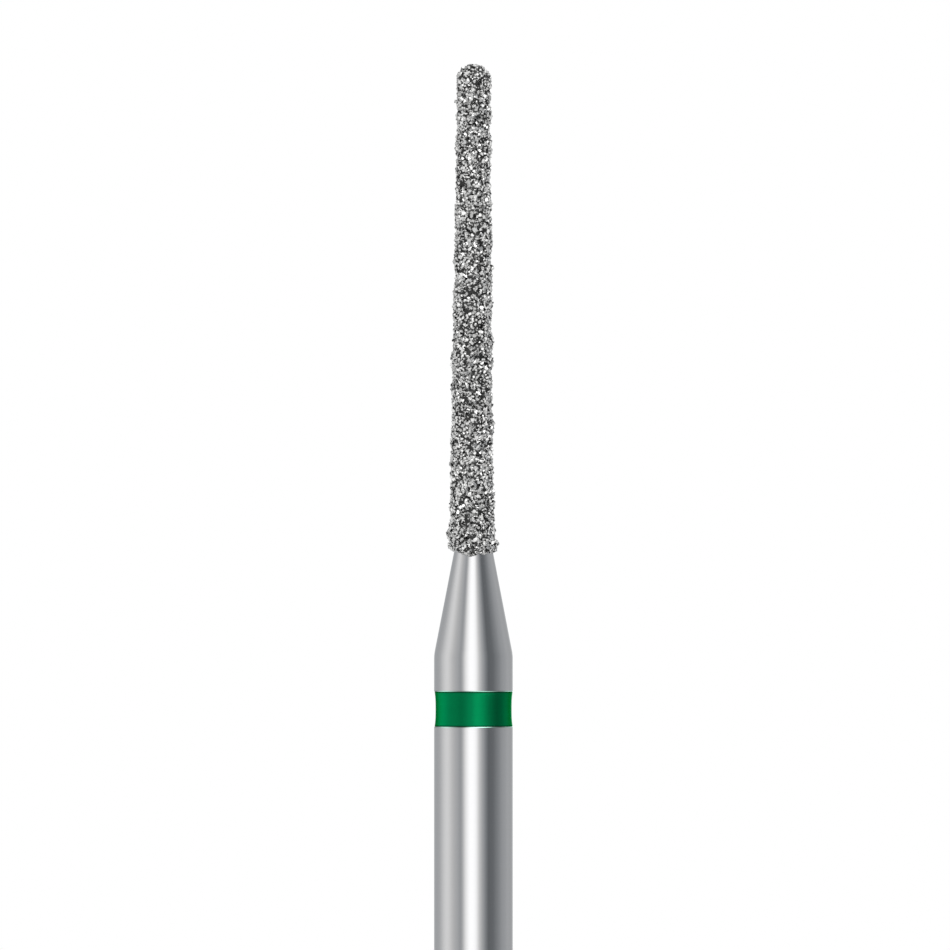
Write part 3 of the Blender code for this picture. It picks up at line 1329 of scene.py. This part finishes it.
    def _plant(self, master: bpy.types.Object, seat: Seat, draw: random.Random) -> bpy.types.Object:
        """Copies a crystal to a seat, turned at random, each facet with a tone of its own.

        Args:
            master: The crystal that is copied.
            seat: Where the copy goes.
            draw: Source of its turn and tones.

        Returns:
            The copy.
        """
        copy = master.copy()
        copy.data = master.data.copy()
        bpy.context.scene.collection.objects.link(copy)
        turn = Quaternion([draw.gauss(0.0, 1.0) for _ in range(4)]).normalized()
        middle = seat.place - seat.normal * seat.sink
        scale = seat.size * Vector([draw.uniform(*limits) for limits in self.slimness])
        copy.matrix_world = Matrix.LocRotScale(middle, turn, scale)
        tones = [draw.betavariate(*self.bias) for _ in copy.data.polygons]
        copy.data.attributes[self.TONE].data.foreach_set("value", tones)
        return copy


# The studio


@dataclass(frozen=True)
class Surround:
    """How bright the studio is in one direction.

    Attributes:
        side: Direction in degrees round the axis, from the camera's own direction towards the right.
        level: Brightness there, where 1 is white.
    """

    side: float
    level: float


@dataclass
class LightTent:
    """The ring of soft boxes and dark cards that the metal reflects and the camera looks through.

    Attributes:
        surrounds: Brightness round the bur.
        shade: Colour of the light that the dark cards still give.
        bright_from: Brightness from which the light is white.
        radius: Radius of the ring.
        foot: Height of its lower rim.
        height: Distance from there to its upper rim.
    """

    surrounds: tuple[Surround, ...] = (
        Surround(-180.0, 0.62),
        Surround(-152.0, 0.52),
        Surround(-114.0, 0.65),
        Surround(-85.0, 1.02),
        Surround(-65.0, 0.80),
        Surround(-46.0, 0.58),
        Surround(-35.0, 0.565),
        Surround(-26.0, 1.05),
        Surround(-15.0, 1.56),
        Surround(-3.0, 1.68),
        Surround(8.0, 1.42),
        Surround(15.0, 0.98),
        Surround(23.0, 0.66),
        Surround(31.0, 0.44),
        Surround(41.0, 0.235),
        Surround(48.0, 0.200),
        Surround(64.0, 0.260),
        Surround(86.0, 0.435),
        Surround(112.0, 0.56),
        Surround(157.0, 0.67),
        Surround(180.0, 0.62),
    )
    shade: tuple[float, float, float] = (0.93, 1.0, 1.08)
    bright_from: float = 0.8
    radius: float = 30.0 * MM
    foot: float = -0.02 * MM
    height: float = 28.0 * MM

    def build(self) -> None:
        """Rolls the ring and lights it."""
        bpy.ops.object.select_all(action="DESELECT")
        bpy.ops.mesh.primitive_cylinder_add(
            vertices=STAGE_SIDES,
            radius=self.radius,
            depth=self.height,
            end_fill_type="NOTHING",
            location=(0.0, 0.0, self.foot + self.height / 2),
        )
        tent = bpy.context.active_object
        bpy.ops.object.transform_apply(location=True, rotation=True, scale=True)
        tent.name = "light_tent"
        tent.visible_shadow = False
        tent.visible_diffuse = False
        tent.data.materials.append(self._glow())
        tent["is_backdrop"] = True

    def _glow(self) -> bpy.types.Material:
        """The tent's light, graded round the bur and clear to the camera.

        Returns:
            The material.
        """
        recipe = Recipe("tent_glow")
        recipe.tree.nodes.remove(recipe.shader)
        turned = recipe.add("ShaderNodeMapping", {"Vector": recipe.place(), "Rotation": (0.0, 0.0, UP)})
        where = {"Vector": turned.outputs["Vector"]}
        around = recipe.add("ShaderNodeTexGradient", where, gradient_type="RADIAL")
        ramp = recipe.add("ShaderNodeValToRGB", {"Fac": around.outputs["Fac"]})
        ramp.color_ramp.interpolation = "CARDINAL"
        brightest = max(surround.level for surround in self.surrounds)
        stops = ramp.color_ramp.elements
        for index, surround in enumerate(self.surrounds):
            position = 0.5 + surround.side / 360.0
            stop = stops[index] if index < 1 else stops.new(position)
            stop.position = position
            tint = max(0.0, 1.0 - surround.level / self.bright_from)
            share = surround.level / brightest
            stop.color = (*[share * (1.0 + tint * (part - 1.0)) for part in self.shade], 1.0)
        stops.remove(stops[-1])
        glow = recipe.add("ShaderNodeEmission", {"Color": ramp.outputs["Color"], "Strength": brightest})
        clear = recipe.add("ShaderNodeBsdfTransparent")
        path = recipe.add("ShaderNodeLightPath")
        mix = recipe.add("ShaderNodeMixShader", {"Fac": path.outputs["Is Camera Ray"]})
        recipe.tree.links.new(glow.outputs["Emission"], mix.inputs[1])
        recipe.tree.links.new(clear.outputs["BSDF"], mix.inputs[2])
        recipe.feed(recipe.tree.nodes["Material Output"], {"Surface": mix.outputs["Shader"]})
        return recipe.material


@dataclass
class Studio:
    """White room, pale floor, light tent, key light and camera.

    Attributes:
        tent: The tent round the bur.
        room_level: Light that the room gives to what isn't shiny.
        floor_radius: Radius of the floor.
        floor_height: Its height, just under the shank's end.
        floor_colour: Its colour.
        floor_specks: How many times that changes in a metre.
        floor_dulled: Share of the colour that its darker specks keep.
        floor_roughness: How matt it is.
        floor_gloss: How strongly it reflects.
        key_strength: Strength of the soft key light.
        key_spread: Angle that it fills in the sky.
        key_turn: Turn of the lamp, which shines straight down before it.
        camera_distance: Distance of the camera from the axis.
        camera_reach: Nearest and farthest distance that the camera sees.
        sensor_width: Width of its sensor, in millimetres.
        aim: Point at the middle of the picture.
        picture_width: Width of what the camera sees at the axis.
    """

    tent: LightTent = field(default_factory=LightTent)
    room_level: float = 0.9
    floor_radius: float = 150.0 * MM
    floor_height: float = -0.02 * MM
    floor_colour: tuple[float, float, float] = (0.86, 0.86, 0.86)
    floor_specks: float = 2500.0
    floor_dulled: float = 0.985
    floor_roughness: float = 0.9
    floor_gloss: float = 0.1
    key_strength: float = 1.2
    key_spread: float = math.radians(60.0)
    key_turn: tuple[float, float, float] = (math.radians(30.0), 0.0, math.radians(25.0))
    camera_distance: float = 400.0 * MM
    camera_reach: tuple[float, float] = (0.01, 2.0)
    sensor_width: float = 36.0
    aim: tuple[float, float, float] = (0.028 * MM, 0.0, 14.636 * MM)
    picture_width: float = 19.231 * MM

    def lay_floor(self) -> None:
        """Lays the floor."""
        bpy.ops.object.select_all(action="DESELECT")
        bpy.ops.mesh.primitive_circle_add(
            vertices=STAGE_SIDES,
            radius=self.floor_radius,
            fill_type="NGON",
            location=(0.0, 0.0, self.floor_height),
        )
        floor = bpy.context.active_object
        floor.name = "studio_floor"
        recipe = Recipe("floor_paper")
        specks = recipe.speckle(recipe.place(), self.floor_specks)
        darker = [part * self.floor_dulled for part in self.floor_colour]
        recipe.feed(
            recipe.shader,
            {
                "Base Color": recipe.blend(specks, darker, self.floor_colour),
                "Roughness": self.floor_roughness,
                "Specular IOR Level": self.floor_gloss,
            },
        )
        floor.data.materials.append(recipe.material)
        floor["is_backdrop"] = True

    def paint_room(self) -> None:
        """Makes the world: white to the camera and in metal, and at a plain level for the rest."""
        world = bpy.data.worlds.new("studio")
        bpy.context.scene.world = world
        world.use_nodes = True
        nodes = world.node_tree.nodes
        link = world.node_tree.links.new
        nodes.clear()
        plain = nodes.new("ShaderNodeBackground")
        plain.inputs["Strength"].default_value = self.room_level
        white = nodes.new("ShaderNodeBackground")
        for background in (plain, white):
            background.inputs["Color"].default_value = (1.0, 1.0, 1.0, 1.0)
        path = nodes.new("ShaderNodeLightPath")
        shown = path.outputs["Is Camera Ray"]
        for kind in ("Is Glossy Ray", "Is Transmission Ray"):
            either = nodes.new("ShaderNodeMath")
            either.operation = "MAXIMUM"
            link(shown, either.inputs[0])
            link(path.outputs[kind], either.inputs[1])
            shown = either.outputs[0]
        mix = nodes.new("ShaderNodeMixShader")
        output = nodes.new("ShaderNodeOutputWorld")
        link(shown, mix.inputs["Fac"])
        link(plain.outputs["Background"], mix.inputs[1])
        link(white.outputs["Background"], mix.inputs[2])
        link(mix.outputs["Shader"], output.inputs["Surface"])

    def light(self) -> None:
        """Hangs the soft key light high up and to the right of the camera."""
        data = bpy.data.lights.new("key_light", "SUN")
        data.energy = self.key_strength
        data.angle = self.key_spread
        lamp = bpy.data.objects.new("key_light", data)
        bpy.context.scene.collection.objects.link(lamp)
        lamp.rotation_euler = self.key_turn

    def set_camera(self) -> None:
        """Puts the camera level with the middle of the picture, far off with a long lens."""
        data = bpy.data.cameras.new("camera")
        data.sensor_width = self.sensor_width
        data.lens = data.sensor_width * self.camera_distance / self.picture_width
        data.clip_start, data.clip_end = self.camera_reach
        camera = bpy.data.objects.new("camera", data)
        bpy.context.scene.collection.objects.link(camera)
        camera.location = Vector(self.aim) - Vector((0.0, self.camera_distance, 0.0))
        camera.rotation_euler = (UP, 0.0, 0.0)
        bpy.context.scene.camera = camera

    def set_up(self) -> None:
        """Makes the whole studio."""
        self.lay_floor()
        self.paint_room()
        self.tent.build()
        self.light()
        self.set_camera()
        bpy.context.scene.view_settings.view_transform = "Standard"


# Putting it together


def corners() -> list[list[float]]:
    """The lowest and the highest corner of what is shown, as plain numbers."""
    return [list(corner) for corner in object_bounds()]


def report(piece: bpy.types.Object) -> None:
    """Says how many triangles a finished piece has."""
    piece.data.calc_loop_triangles()
    log.info("%s: %d triangles", piece.name, len(piece.data.loop_triangles))


def main() -> None:
    """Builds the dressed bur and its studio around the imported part."""
    logging.basicConfig(level=logging.INFO, format="%(name)s: %(message)s")
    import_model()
    shape = Shape()
    report(SteelBlank(shape).build())
    report(LacquerRing(shape).build())
    bond = NickelBond(shape)
    shell = bond.build()
    grit = DiamondGrit(bond)
    seats = grit.find_seats(shell)
    log.info("crystals: %d", len(seats))
    bond.roughen(shell, seats)
    bond.dress(shell)
    report(shell)
    for piece in grit.build(seats):
        report(piece)
    Studio().set_up()


if __name__ == "__main__":
    main()
